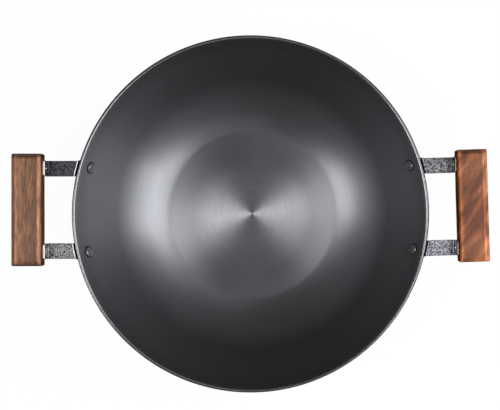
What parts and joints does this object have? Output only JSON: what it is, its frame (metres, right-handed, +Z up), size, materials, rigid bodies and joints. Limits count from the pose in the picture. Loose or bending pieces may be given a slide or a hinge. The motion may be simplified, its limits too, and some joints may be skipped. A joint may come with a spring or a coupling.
{
  "type": "wok",
  "caption": "Deep wok of dark anodised aluminium with a flat base and straight sloping wall, and a wooden grip at each side on riveted steel straps.",
  "frame": {"origin": "middle of the base, on the surface that the wok stands on", "axes": "+X along the handles towards the right grip, +Y towards the rear, +Z up out of the bowl"},
  "size_m": [0.4494, 0.34, 0.1157],
  "materials": {
    "anodised_aluminium": "hard-anodised dark grey, turned, satin",
    "galvanised_steel": "pitted zinc coat, mottled",
    "grip_wood": "oiled and sanded",
    "anodised_rivet": "hard-anodised dark grey",
    "screw_steel": "zinc plated"
  },
  "bodies": {
    "root": {"bowl": "anodised_aluminium", "strap_left_front": "galvanised_steel", "strap_left_rear": "galvanised_steel", "strap_right_front": "galvanised_steel", "strap_right_rear": "galvanised_steel", "grip_left": "grip_wood", "grip_right": "grip_wood", "rivet_left_front": "anodised_rivet", "rivet_left_rear": "anodised_rivet", "rivet_right_front": "anodised_rivet", "rivet_right_rear": "anodised_rivet", "screw_left_front": "screw_steel", "screw_left_rear": "screw_steel", "screw_right_front": "screw_steel", "screw_right_rear": "screw_steel"}
  },
  "joints": []
}
